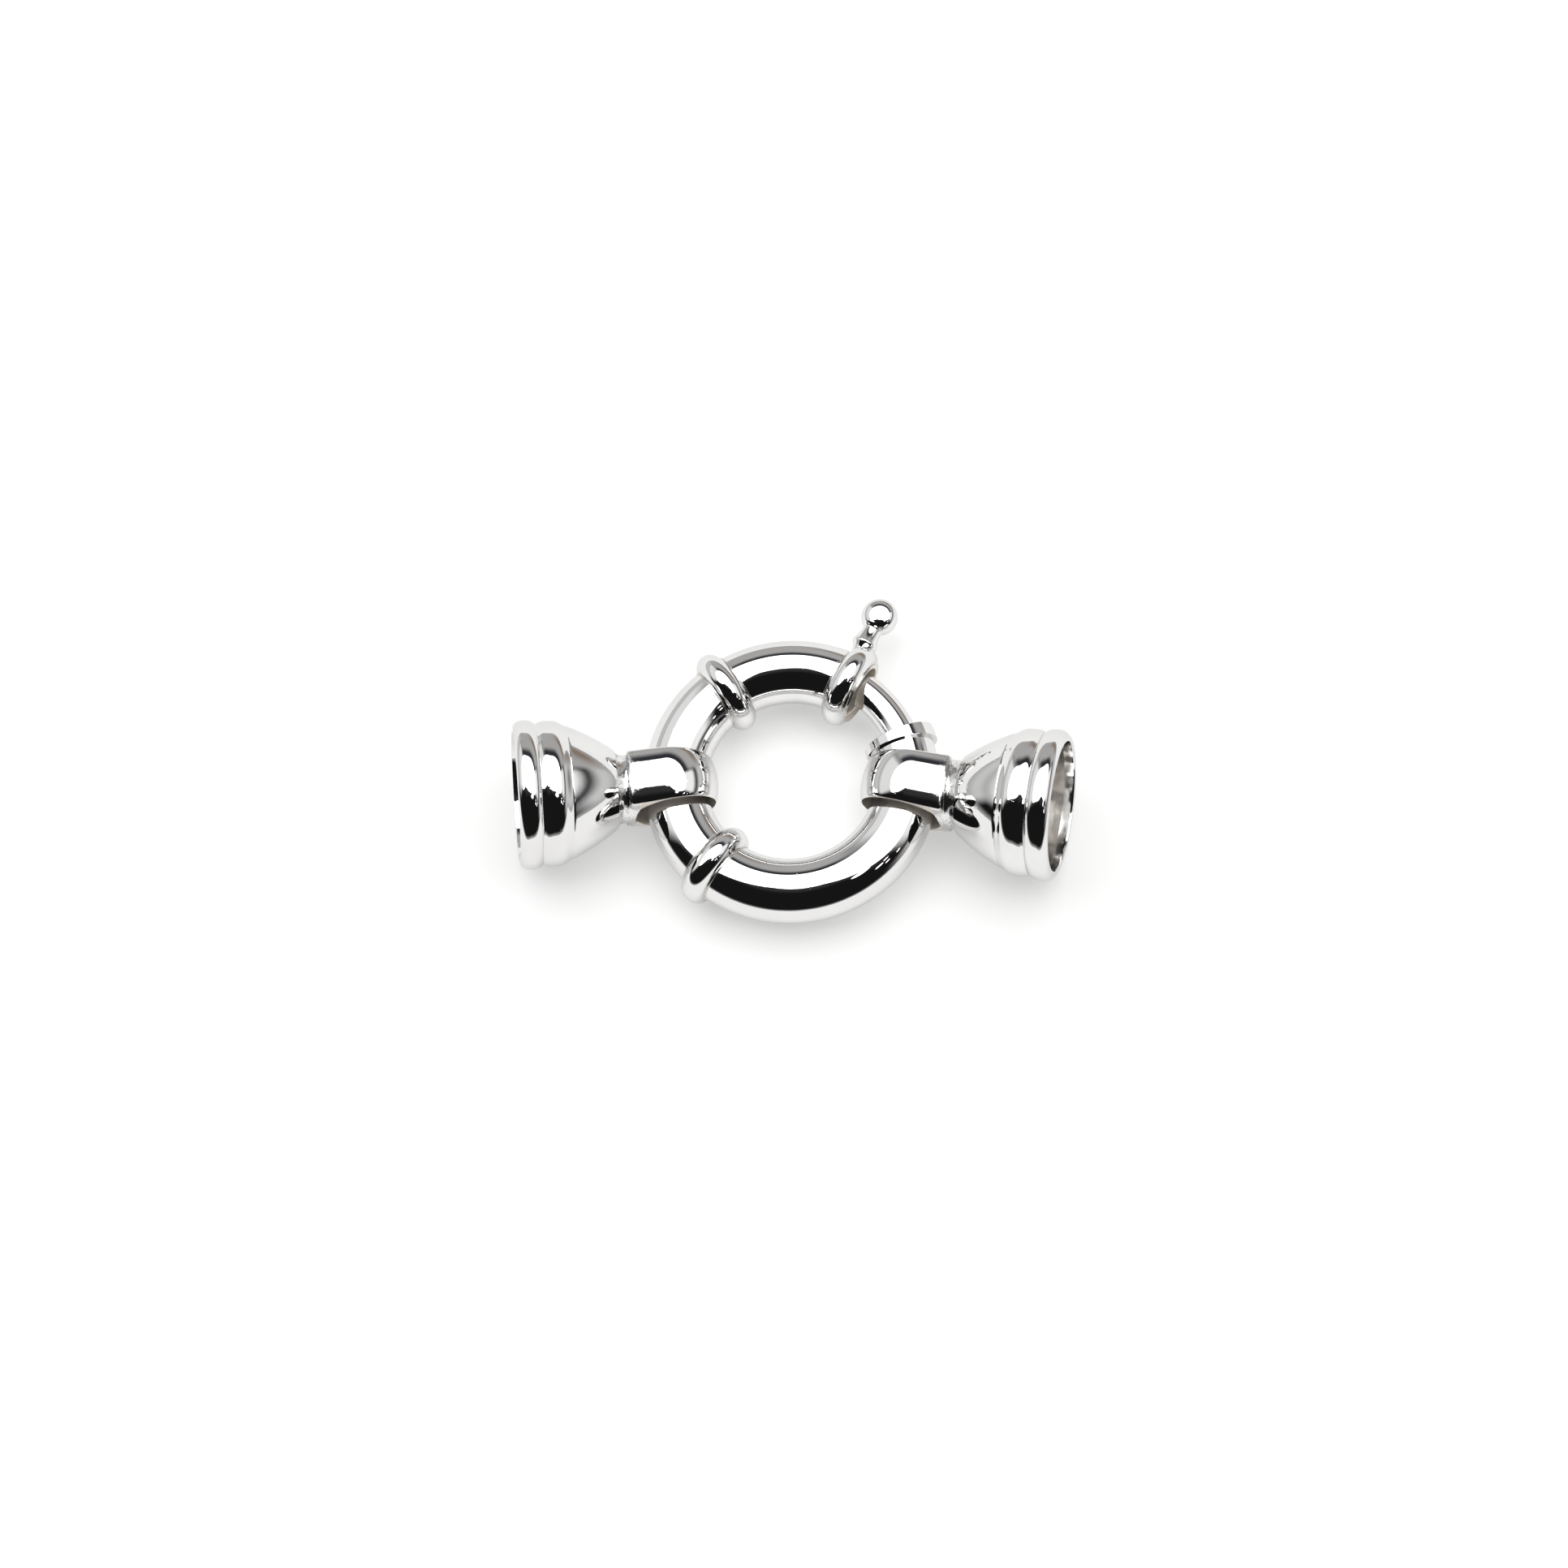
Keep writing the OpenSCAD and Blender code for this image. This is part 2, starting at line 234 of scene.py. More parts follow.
def silver(name, rub_along, rub, wave, grain):
    """Polished silver. Its shade drifts a little from place to place, is warmer where it is marked with
    tarnish and is flecked with soot where it is marked with solder, and both are rougher. Heights in
    thousandths of a millimetre are summed and bumped: a slow wave left by the bending, fine rub lines
    drawn out along rub_along, a faint peel, small pits, a coarse grain on solder and dents where the
    casting is left rough."""
    metal = bpy.data.materials.new(name)
    metal.use_nodes = True
    tree = metal.node_tree
    nodes = tree.nodes
    link = tree.links.new
    shader = nodes["Principled BSDF"]
    shader.inputs["Metallic"].default_value = 1.0
    shader.inputs["Specular Tint"].default_value = (*SILVER_EDGE, 1.0)

    def attribute(key):
        node = nodes.new("ShaderNodeAttribute")
        node.attribute_name = key
        return node

    def times(first, second):
        return node_sum(tree, "MULTIPLY", first, second)

    def plus(first, second):
        return node_sum(tree, "ADD", first, second)

    def noise(stretch, detail, rough):
        mapping = nodes.new("ShaderNodeMapping")
        mapping.inputs["Scale"].default_value = stretch
        link(lay, mapping.inputs["Vector"])
        node = nodes.new("ShaderNodeTexNoise")
        node.inputs["Scale"].default_value = 1.0
        node.inputs["Detail"].default_value = detail
        node.inputs["Roughness"].default_value = rough
        link(mapping.outputs[0], node.inputs["Vector"])
        return node.outputs["Fac"]

    def two_tones(factor, low_at, low, high_at, high):
        node = nodes.new("ShaderNodeValToRGB")
        link(factor, node.inputs[0])
        for point, position, tone in zip(node.color_ramp.elements, (low_at, high_at), (low, high)):
            point.position = position
            point.color = (*tone, 1.0) if isinstance(tone, tuple) else (tone, tone, tone, 1.0)
        return node.outputs[0]

    lay = attribute("lay").outputs["Vector"]
    solder = attribute("solder").outputs["Fac"]
    tarnish = attribute("tarnish").outputs["Fac"]
    dented = attribute("dented").outputs["Fac"]
    drift = noise((0.35, 0.35, 0.35), 2.0, 0.5)
    shade = two_tones(drift, 0.30, SILVER_DARKER, 0.70, SILVER_LIGHTER)
    patches = two_tones(noise((1.4, 1.4, 1.4), 3.0, 0.6), 0.25, 0.45, 0.75, 1.0)
    shade = node_blend(tree, times(tarnish, patches), shade, TARNISH_WARM)
    specks = two_tones(noise((5.5, 5.5, 5.5), 4.0, 0.65), 0.50, 0.0, 0.62, 0.75)
    shade = node_blend(tree, times(solder, specks), shade, SOLDER_SOOT)
    link(shade, shader.inputs["Base Color"])

    smear = two_tones(noise((0.8, 0.8, 0.8), 3.0, 0.6), 0.35, 0.018, 0.75, 0.045)
    roughness = plus(plus(smear, times(solder, 0.10)), times(tarnish, 0.50))
    link(roughness, shader.inputs["Roughness"])

    waves = times(noise((0.45, 0.45, 0.45), 1.0, 0.4), wave)
    dents = times(times(noise((0.8, 0.8, 0.8), 1.0, 0.4), dented), DENT_HEIGHT)
    peel = times(noise((3.6, 3.6, 3.6), 2.0, 0.5), PEEL_HEIGHT)
    rubs = times(noise(RUB_STRETCH[rub_along], 3.0, 0.6), rub)
    pits = times(two_tones(noise((3.2, 3.2, 3.2), 2.0, 0.5), 0.26, 0.0, 0.31, 1.0), PIT_DEPTH)
    rough_grain = times(times(noise((4.5, 4.5, 4.5), 5.0, 0.6), solder), grain)
    height = plus(plus(plus(plus(waves, rubs), plus(pits, rough_grain)), dents), peel)
    bump = nodes.new("ShaderNodeBump")
    bump.inputs["Strength"].default_value = 1.0
    bump.inputs["Distance"].default_value = 1e-6
    link(height, bump.inputs["Height"])
    link(bump.outputs[0], shader.inputs["Normal"])
    return metal


wall_middle = (TUBE_R + BORE_R) / 2
tube_start, tube_stop = (math.radians(a) * RING_R for a in TUBE_ENDS)
tube_profile = polish([(tube_start, wall_middle), (tube_start, TUBE_R), (tube_stop, TUBE_R),
                       (tube_stop, wall_middle)], 0.035, 400, 0.12)
for slot_end in SLOT_ENDS:
    slot_row = np.abs(tube_profile[:, 0] - math.radians(slot_end) * RING_R).argmin()
    tube_profile[slot_row, 0] = math.radians(slot_end) * RING_R
tube_rows = tube_profile[:, 0]
tube_outer_reach = tube_profile[:, 1]
tube_inner_reach = 2 * wall_middle - tube_outer_reach
tube_angle = tube_rows[:, None] / RING_R
outer_turn = slotted_turn(tube_outer_reach, SLOT_CELLS, WALL_CELLS)
inner_turn = slotted_turn(tube_inner_reach, SLOT_CELLS, WALL_CELLS)
outer = on_ring(tube_angle, outer_turn, tube_outer_reach[:, None])
inner = on_ring(tube_angle, inner_turn, tube_inner_reach[:, None])
between = np.degrees((tube_rows[:-1] + tube_rows[1:]) / 2 / RING_R)
slot_rows = (between > SLOT_ENDS[0]) & (between < SLOT_ENDS[1])
tube_cells = SLOT_CELLS + WALL_CELLS
cut = slot_rows[:, None] & (np.arange(tube_cells) < SLOT_CELLS)[None, :]
points, faces = wrapped_shell(outer, inner, cut)
straight = np.concatenate([
    np.stack([tube_rows[:, None] + 0 * turn, reach[:, None] * np.cos(turn), reach[:, None] * np.sin(turn)],
             axis=-1).reshape(-1, 3)
    for turn, reach in ((outer_turn, tube_outer_reach), (inner_turn, tube_inner_reach))])
from_end = np.minimum(tube_rows - tube_start, tube_stop - tube_rows)
at_rim = np.repeat(np.clip(1.3 - from_end / 0.06, 0, 1) * 0.7, tube_cells)
inside = np.concatenate([at_rim, np.ones(len(at_rim))])
drawn_silver = silver("drawn_silver_tube", "x", 0.05, 2.0, 6.0)
metal_piece("tube_of_the_ring", "ring", "ring_tube",
            [{"points": points, "faces": faces, "lay": straight, "tarnish": inside}], drawn_silver)

# Collars: three half-round silver rings soldered round the tube. A thin line of solder runs along each
# side of a collar, and the one at the mouth is notched so that the trigger's stem can rest in it.
COLLAR_PROUD = 0.70
COLLAR_SECTION_R = 0.82
COLLAR_ANGLES = {"collar_upper_left": 126.0, "collar_lower_left": 231.0, "mouth_collar": 60.0}
COLLAR_LIP = 0.90
LIP_R = 2.005
SEAT_R = 1.90
NOTCH_FROM = -0.12
NOTCH_CELLS = 10
COLLAR_CELLS = 102
SOLDER_LINE = 0.84
FILLET = 0.03
FILLET_LIFT = 0.69


def settle_on_tube(points, clear):
    """Points nearer to the middle of the bent tube than its outside, plus clear, are moved straight out
    to it, with a small soft fillet where they leave it. At the outside itself both halves of the fillet
    stand off by its lift, the logarithm of two."""
    ring_angle = np.arctan2(points[..., 1], points[..., 0])
    out = np.hypot(points[..., 0], points[..., 1]) - RING_R
    reach = np.hypot(out, points[..., 2])
    turn = np.arctan2(points[..., 2], out)
    floor = TUBE_R + clear
    beyond = (reach - floor) / FILLET
    settled = floor + FILLET * np.logaddexp(0, beyond)
    settled = np.where(reach < floor, floor + FILLET * np.exp(beyond) * FILLET_LIFT, settled)
    return on_ring(ring_angle, turn, settled)


def around_tangent(angle, across, turn, reach):
    """Points turned about the tube's tangent at a ring angle: across runs along the tangent, turn goes
    from outwards towards up, and reach is the distance from the tangent."""
    out = RING_R + reach * np.cos(turn)
    sideways = across + 0 * out
    x = out * math.cos(angle) - sideways * math.sin(angle)
    y = out * math.sin(angle) + sideways * math.cos(angle)
    return np.stack([x, y, reach * np.sin(turn) + 0 * x], axis=-1)


collar_middle_r = TUBE_R + COLLAR_PROUD - COLLAR_SECTION_R
collar_metal = silver("soldered_silver_collar", "none", 0.06, 2.0, 5.0)
sweep = np.radians(np.linspace(176, 4, 60))
half_round = np.stack([np.cos(sweep), np.sin(sweep)], axis=1) * COLLAR_SECTION_R + [0.0, collar_middle_r]
section = polish([(-COLLAR_LIP, SEAT_R), (-COLLAR_LIP, LIP_R), *half_round, (COLLAR_LIP, LIP_R),
                  (COLLAR_LIP, SEAT_R)], 0.028, 110, 0.10)
notch_row = np.abs(section[:, 0] - NOTCH_FROM).argmin()
across = section[:, :1]
reach = section[:, 1]
turn = slotted_turn(reach, NOTCH_CELLS, COLLAR_CELLS)
under = np.full(len(reach), SEAT_R - 0.10)
under_turn = slotted_turn(under, NOTCH_CELLS, COLLAR_CELLS)
beside = np.abs(np.abs(section[:, 0]) - SOLDER_LINE) < 0.10
joint = np.repeat(beside * 0.5, turn.shape[1])
joint = np.r_[joint, np.zeros_like(joint)]
stained = np.repeat(np.clip((np.abs(section[:, 0]) - 0.83) / 0.05, 0, 1) * 0.6, turn.shape[1])
stained = np.r_[stained, np.ones_like(stained)]
for collar_name, collar_angle in COLLAR_ANGLES.items():
    angle = math.radians(collar_angle)
    outer = settle_on_tube(around_tangent(angle, across, turn, reach[:, None]), 0.003)
    inner = settle_on_tube(around_tangent(angle, across, under_turn, under[:, None]), 0.002)
    cut = np.zeros((len(reach) - 1, turn.shape[1]), bool)
    if collar_name == "mouth_collar":
        cut[notch_row:, :NOTCH_CELLS] = True
    points, faces = wrapped_shell(outer, inner, cut)
    metal_piece("ring_of_" + collar_name, "ring", collar_name,
                [{"points": points, "faces": faces, "solder": joint, "tarnish": stained}], collar_metal)

# Receiver sleeve: a plain thin band of silver soldered round the other end of the tube, which the bolt
# closes into. Its edges are hardly rounded.
SLEEVE_ANGLES = (16.0, 21.5)
SLEEVE_R = 2.23
SLEEVE_BORE_R = 1.954
SLEEVE_CELLS = 128
sleeve_start, sleeve_stop = (math.radians(a) * RING_R for a in SLEEVE_ANGLES)
band = polish([(sleeve_start, SLEEVE_BORE_R), (sleeve_start, SLEEVE_R), (sleeve_stop, SLEEVE_R),
               (sleeve_stop, SLEEVE_BORE_R)], 0.022, 60, 0.10)
turn = np.linspace(0, 2 * np.pi, SLEEVE_CELLS + 1)[None, :-1]
outer = on_ring(band[:, :1] / RING_R, turn, band[:, 1:])
inner = on_ring(band[:, :1] / RING_R, turn, 0 * band[:, 1:] + SLEEVE_BORE_R - 0.001)
points, faces = wrapped_shell(outer, inner, np.zeros((len(band) - 1, SLEEVE_CELLS), bool))
metal_piece("band_of_the_receiver", "ring", "receiver_sleeve",
            [{"points": points, "faces": faces}], collar_metal)

# Bolt: a solid silver bar bent to the ring, a little outside the middle of the tube, with a tapered tip.
# A hidden spring in the tube pushes it shut.
BOLT_D = 2.1
BOLT_RING_R = 7.25
BOLT_TIP_ANGLE = 13.5
BOLT_END_ANGLE = 75.5
BOLT_TIP_R = 0.6
BOLT_TIP_L = 0.5
PIN_CELLS = 72
bolt_stop = math.radians(BOLT_END_ANGLE - BOLT_TIP_ANGLE) * BOLT_RING_R
bar = polish([(-BOLT_TIP_L, 0.0), (-BOLT_TIP_L, BOLT_TIP_R), (0.0, BOLT_D / 2), (bolt_stop, BOLT_D / 2),
              (bolt_stop, 0.0)], 0.05, 150, 0.25)
turn = np.linspace(0, 2 * np.pi, PIN_CELLS + 1)[None, :-1]
bolt_angle = math.radians(BOLT_TIP_ANGLE) + bar[:, :1] / BOLT_RING_R
out = BOLT_RING_R + bar[:, 1:] * np.cos(turn)
outer = np.stack([out * np.cos(bolt_angle), out * np.sin(bolt_angle), bar[:, 1:] * np.sin(turn)], axis=-1)


def turned_solid(grid):
    """The points and faces of a solid whose grid's columns close round and whose first and last rows are
    single points."""
    rows, columns = grid.shape[:2]
    number = np.arange(rows * columns).reshape(rows, columns)
    turned = np.roll(number, -1, axis=1)
    return grid.reshape(-1, 3), quads(number[:-1], number[1:], turned[1:], turned[:-1])


points, faces = turned_solid(outer)
straight = np.stack([bar[:, :1] + 0 * turn, bar[:, 1:] * np.cos(turn), bar[:, 1:] * np.sin(turn)], axis=-1)
bolt_metal = silver("drawn_silver_bar", "x", 0.12, 2.0, 4.0)
metal_piece("bar_of_the_bolt", "bolt", "bolt",
            [{"points": points, "faces": faces, "lay": straight.reshape(-1, 3)}], bolt_metal)

# Trigger: a turned silver pin. Its peg is fixed in the bolt, its stem narrows from a wide foot to the
# neck, and a ball stands on the end for the thumb nail, worn a little flat above and below.
TRIGGER_ANGLE = 63.5
PEG = [(6.77, 0.0), (6.77, 0.5), (8.7, 0.5)]
FOOT = [(9.45, 0.56), (9.80, 0.77)]
STEM_FROM = 9.90
STEM_TO = 10.95
STEM_NECK_R = 0.60
STEM_FLARE = 0.24
BALL_AT = 12.0
BALL_R = 1.15
BALL_WEAR = 0.20
ball_sweep = np.radians(np.linspace(150, 0, 60))
ball_line = np.stack([BALL_AT + BALL_R * np.cos(ball_sweep), BALL_R * np.sin(ball_sweep)], axis=1)
stem_places = np.linspace(STEM_FROM, STEM_TO, 30)
stem_widths = STEM_NECK_R + STEM_FLARE * ((STEM_TO - stem_places) / (STEM_TO - STEM_FROM)) ** 1.8
stem_line = np.stack([stem_places, stem_widths], axis=1)
pin = polish([*PEG, *FOOT, *stem_line, *ball_line], 0.07, 150, 0.25)
turn = np.linspace(0, 2 * np.pi, PIN_CELLS + 1)[None, :-1]
trigger_turn = math.radians(TRIGGER_ANGLE)
side = pin[:, 1:] * np.cos(turn)
grid = np.stack([pin[:, :1] * math.cos(trigger_turn) - side * math.sin(trigger_turn),
                 pin[:, :1] * math.sin(trigger_turn) + side * math.cos(trigger_turn),
                 pin[:, 1:] * np.sin(turn)], axis=-1)
on_ball = np.clip((pin[:, :1] - 10.9) / 0.4, 0, 1)
grid[..., 2] *= 1 - BALL_WEAR * on_ball * (grid[..., 2] / BALL_R) ** 2
points, faces = turned_solid(grid)
straight = np.stack([pin[:, :1] + 0 * turn, side, pin[:, 1:] * np.sin(turn)], axis=-1)
pin_metal = silver("turned_silver_pin", "round x", 0.05, 1.5, 4.0)
metal_piece("pin_of_the_trigger", "bolt", "trigger",
            [{"points": points, "faces": faces, "lay": straight.reshape(-1, 3)}], pin_metal)

# End caps: each is a turned silver bell with two beads at its mouth. A strap of domed wire is bent round
# the ring's tube and hard soldered to the bell's closed end, where the solder is left a little rough.
HOLE_R = 2.48
STRAP_T = 0.46
STRAP_SHIFT = 0.18
STRAP_DOME_R = 4.0
STRAP_HALF = 1.67
STRAP_TAPER = 0.07
STRAP_BOW = 0.012
STRAP_LEAN = 13.0
STRAP_ROOT = 2.85
NECK_R = 2.05
NECK_FROM = 0.8
NECK_FLARE = 0.24
NECK_FLARE_L = 0.16
NECK_SUNK = 0.19
ROOT_ROUND = 0.06
SIDE_ROUND = 0.085
NECK_END_ROUND = 0.01
NECK_START_ROUND = 0.08
SOLDER_FILLET = 0.05
HOLE_ROUND = 0.014
LOOP_CELLS = 288
STRAP_CELLS = 112
RAY_L = 3.2
HALVINGS = 40
BELL_AT = 3.5
BELL_END_R = 2.4
BELL_STEP = (6.3, 4.03)
BELL_CURVE_R = 12.0
BELL_WALL = 0.35
MOUTH_AT = 9.5
CUP_R = 3.85
CUP_DEPTH = 3.0
BELL_CELLS = 192
SHOULDER = [(6.33, 3.99), (6.36, 4.03), (6.66, 4.20)]
BEADS = [
    # where each bead starts, crests and ends, along and out from the bell's axis
    [(6.66, 4.20), (7.44, 4.40), (8.13, 4.24)],
    [(8.14, 4.26), (8.84, 4.50), (9.50, 4.14)],
]
REST_PITCH = 12.307
LOOP_LIFT = 0.2
CAP_PLACES = {
    "right": {"slide": 5.5, "yaw": 11.0, "draw": 0.0},
    "left": {"slide": 4.0, "yaw": 8.0, "draw": 0.14},
}


def softly_less(a, b, spread):
    """The lesser of two heights, with the step between them rounded over spread."""
    return -spread * np.logaddexp(-a / spread, -b / spread)


def softly_more(a, b, spread):
    """The greater of two heights, with the step between them rounded over spread."""
    return spread * np.logaddexp(a / spread, b / spread)


def strap_half_width(x):
    """Half the strap's width, growing towards its root along a gentle bow."""
    return STRAP_HALF + STRAP_TAPER * x - STRAP_BOW * x * x


def above_bail(x, y, z):
    """Height above the metal of a bail and its neck, below nought inside it. The strap is a dome of
    wire turned about the loop and drawn out flat from the top of the loop to its root, no wider than
    its tapering sides. The neck is round and flares into the bell. The two are blended, and the hole
    for the tube is taken out."""
    lean = np.arctan2(x - STRAP_SHIFT, np.abs(z))
    shifted = np.hypot(x - STRAP_SHIFT, z) * np.cos(np.clip(lean - math.radians(STRAP_LEAN), 0, None))
    dome = np.hypot(shifted - (HOLE_R + STRAP_T - STRAP_DOME_R), y) - STRAP_DOME_R
    dome = softly_more(dome, x - STRAP_ROOT, ROOT_ROUND)
    sides = np.abs(y) - strap_half_width(x)
    strap = softly_more(dome, sides, SIDE_ROUND)
    flare = NECK_FLARE * np.exp(-np.clip(BELL_AT - x, 0, None) / NECK_FLARE_L)
    neck = softly_more(np.hypot(y, z) - (NECK_R + flare), x - (BELL_AT + NECK_SUNK), NECK_END_ROUND)
    neck = softly_more(neck, NECK_FROM - x, NECK_START_ROUND)
    joined = softly_less(strap, neck, SOLDER_FILLET)
    return softly_more(joined, HOLE_R - np.hypot(x, z), HOLE_ROUND)


def bail_shell():
    """The bail's surface as a grid of loop angles by sweeps round the strap. From a ring of points
    inside the strap, rays leave in the plane of each section towards an ellipse like the strap's own,
    and each ray is halved again and again to the place where the height above the metal is nought."""
    loop = np.linspace(0, 2 * np.pi, LOOP_CELLS + 1)[:-1, None]
    sweep = np.linspace(0, 2 * np.pi, STRAP_CELLS + 1)[None, :-1]
    thickness = STRAP_T + STRAP_SHIFT * np.cos(loop)
    near_neck = np.exp(-(np.arctan2(np.sin(loop), np.cos(loop)) / 0.55) ** 4)
    start = HOLE_R + 0.5 * thickness
    tall = 0.5 * thickness * (1 - near_neck) + 0.6 * near_neck
    wide = 1.5 + 0.4 * near_neck
    out_step = tall * np.cos(sweep)
    side_step = wide * np.sin(sweep)
    length = np.hypot(out_step, side_step)
    out_step = out_step / length
    side_step = side_step / length
    low = np.zeros(np.broadcast(loop, sweep).shape)
    high = low + RAY_L
    for _ in range(HALVINGS):
        middle = (low + high) / 2
        out = start + middle * out_step
        outside = above_bail(out * np.cos(loop), middle * side_step, out * np.sin(loop)) > 0
        high = np.where(outside, middle, high)
        low = np.where(outside, low, middle)
    out = start + low * out_step
    return np.stack([out * np.cos(loop), low * side_step, out * np.sin(loop)], axis=-1)


def bell_profile():
    """The bell's half section as distances along and out from its axis, from the middle of its closed
    end round the lip and back down inside to the middle of its floor. The body is an arc through its
    closed end and the step, and each bead rises and falls as a cube."""
    start = np.array([BELL_END_R, BELL_AT])
    stop = np.array([BELL_STEP[1], BELL_STEP[0]])
    along = (stop - start) / np.linalg.norm(stop - start)
    half = np.linalg.norm(stop - start) / 2
    centre = (start + stop) / 2 + np.array([-along[1], along[0]]) * math.sqrt(BELL_CURVE_R ** 2 - half ** 2)
    places = np.linspace(BELL_AT, BELL_STEP[0], 60)
    body = centre[0] + np.sqrt(BELL_CURVE_R ** 2 - (places - centre[1]) ** 2)
    line = [(BELL_AT, 0.0)]
    line += list(zip(places, body)) + SHOULDER
    for (foot, foot_r), (crest, crest_r), (valley, valley_r) in BEADS:
        rise = np.linspace(0, 1, 40)
        line += list(zip(foot + (crest - foot) * rise, foot_r + (crest_r - foot_r) * (1 - (1 - rise) ** 3)))
        line += list(zip(crest + (valley - crest) * rise, crest_r + (valley_r - crest_r) * rise ** 3))
    cup_floor = MOUTH_AT - CUP_DEPTH
    inner_places = np.linspace(cup_floor, BELL_AT + BELL_WALL, 60)
    inner_wall = centre[0] + np.sqrt((BELL_CURVE_R - BELL_WALL) ** 2 - (inner_places - centre[1]) ** 2)
    line += [(MOUTH_AT - 0.015, CUP_R), (cup_floor, CUP_R)]
    line += list(zip(inner_places, inner_wall))
    line += [(BELL_AT + BELL_WALL, 0.0)]
    return polish(line, 0.030, 250, 0.12)


def placed_cap(points, side):
    """A cap's points, with the loop at the origin and the mouth along X, laid on the table: tipped up
    about Y, turned towards the front about Z, and slid round the ring."""
    place = CAP_PLACES[side]
    pitch = math.radians(REST_PITCH)
    x = points[:, 0] * math.cos(pitch) - points[:, 2] * math.sin(pitch)
    z = points[:, 0] * math.sin(pitch) + points[:, 2] * math.cos(pitch) + LOOP_LIFT
    y = points[:, 1]
    sign = 1 if side == "right" else -1
    slide = math.radians(-place["slide"] if side == "right" else 180 + place["slide"])
    turn = sign * math.radians(place["slide"] - place["yaw"])
    across = x * math.cos(turn) - y * math.sin(turn) + RING_R + place["draw"]
    forward = x * math.sin(turn) + y * math.cos(turn)
    return np.stack([across * math.cos(slide) - forward * math.sin(slide),
                     across * math.sin(slide) + forward * math.cos(slide), z], axis=-1)


bail_grid = bail_shell()
rows, columns = bail_grid.shape[:2]
number = np.arange(rows * columns).reshape(rows, columns)
after = np.roll(number, -1, axis=0)
bail_faces = quads(number, after, np.roll(after, -1, axis=1), np.roll(number, -1, axis=1))
bail_points = bail_grid.reshape(-1, 3)
along, aside, above = bail_points.T
hole_wall = np.clip((HOLE_R + 0.06 - np.hypot(along, above)) / 0.05, 0, 1)
strap_side = np.clip((np.abs(aside) - strap_half_width(along) + 0.10) / 0.04, 0, 1) * (along < 2.3)
solder_mark = np.clip((along - 2.1) / 0.8, 0, 1) * (1 - hole_wall)
bell = bell_profile()
bell_turn = np.linspace(0, 2 * np.pi, BELL_CELLS + 1)[None, :-1]
bell_grid = np.stack([bell[:, :1] + 0 * bell_turn, bell[:, 1:] * np.cos(bell_turn),
                      bell[:, 1:] * np.sin(bell_turn)], axis=-1)
bell_points, bell_faces = turned_solid(bell_grid)
rim_row = bell[:, 0].argmax()
bell_inside = np.repeat(np.clip((np.arange(len(bell)) - rim_row - 6) / 8, 0, 1), BELL_CELLS)
bell_solder = np.clip((3.62 - bell_points[:, 0]) / 0.1, 0, 1) * (bell_inside == 0) * 0.6
bell_metal = silver("spun_silver_bell", "round x", 0.03, 1.0, 12.0)
for cap_side in ("left", "right"):
    metal_piece("bell_and_bail_" + cap_side, "cap_" + cap_side, "end_cap_" + cap_side, [
        {"points": placed_cap(bell_points, cap_side), "faces": bell_faces, "lay": bell_points,
         "tarnish": bell_inside * 0.30, "dented": bell_inside * 0.8, "solder": bell_solder},
        {"points": placed_cap(bail_points, cap_side), "faces": bail_faces, "lay": bail_points,
         "tarnish": np.maximum(hole_wall, strap_side), "solder": solder_mark}], bell_metal, 30)

# Table: a plain matt white sheet that the clasp lies on, lit a little from below as well. It isn't part
# of the object.
TABLE_HALF = 0.6
TABLE_PAPER = (0.54, 0.54, 0.537)
TABLE_GLOW = 0.42
table_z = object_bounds()[0][2]
sheet = np.array([(-1, -1, 0), (1, -1, 0), (1, 1, 0), (-1, 1, 0)]) * TABLE_HALF + [0, 0, table_z]
sheet_mesh = bpy.data.meshes.new("table")
sheet_mesh.from_pydata(sheet.tolist(), [], [(0, 1, 2, 3)])
table = bpy.data.objects.new("table", sheet_mesh)
bpy.context.collection.objects.link(table)
paper = bpy.data.materials.new("matt_white_paper")
paper.use_nodes = True
paper_shader = paper.node_tree.nodes["Principled BSDF"]
paper_shader.inputs["Base Color"].default_value = (*TABLE_PAPER, 1.0)
paper_shader.inputs["Emission Color"].default_value = (1.0, 1.0, 0.995, 1.0)
paper_shader.inputs["Emission Strength"].default_value = TABLE_GLOW
paper_shader.inputs["Roughness"].default_value = 1.0
paper_shader.inputs["Specular IOR Level"].default_value = 0.0
sheet_mesh.materials.append(paper)

# Studio: a dark room with a lit white roof over the table, cut away by a doorway at the front. White and
# grey boards stand round the table, and five small lamps hang at the front right. All of it is painted
# on the sky by direction. Bearings are counted in degrees from the back of the table by way of the
# right, and elevations in degrees from the table.
TENT_LIGHT = 3.3
WHITE = (1.0, 1.0, 1.0)
TABLE_GREY = (0.318, 0.318, 0.315)
ROOM_BLACK = (0.003, 0.003, 0.003)
ROOM_DIM = (0.011, 0.011, 0.011)
FAR_TABLE_EDGE = (0.148, 0.148, 0.148)
LAMP_PINK = (0.9, 0.82, 0.86)
BACKDROP = (0.93, 0.93, 0.925)
ROOF_EDGE = 47.0
DOORWAY = 35.0
BOARD_BLUR = 6.0
LAMPS = [
    # bearing, elevation and radius
    (130, 60, 3.4), (124, 40, 1.9), (118, 42, 1.3), (120, 32, 1.3), (112, 28, 1.3),
]
sky = bpy.data.worlds.new("light_tent")
bpy.context.scene.world = sky
sky.use_nodes = True
sky_tree = sky.node_tree
sky_nodes = sky_tree.nodes
sky_link = sky_tree.links.new
sky_nodes.clear()
direction = sky_nodes.new("ShaderNodeTexCoord").outputs["Generated"]
parts = sky_nodes.new("ShaderNodeSeparateXYZ")
sky_link(direction, parts.inputs[0])


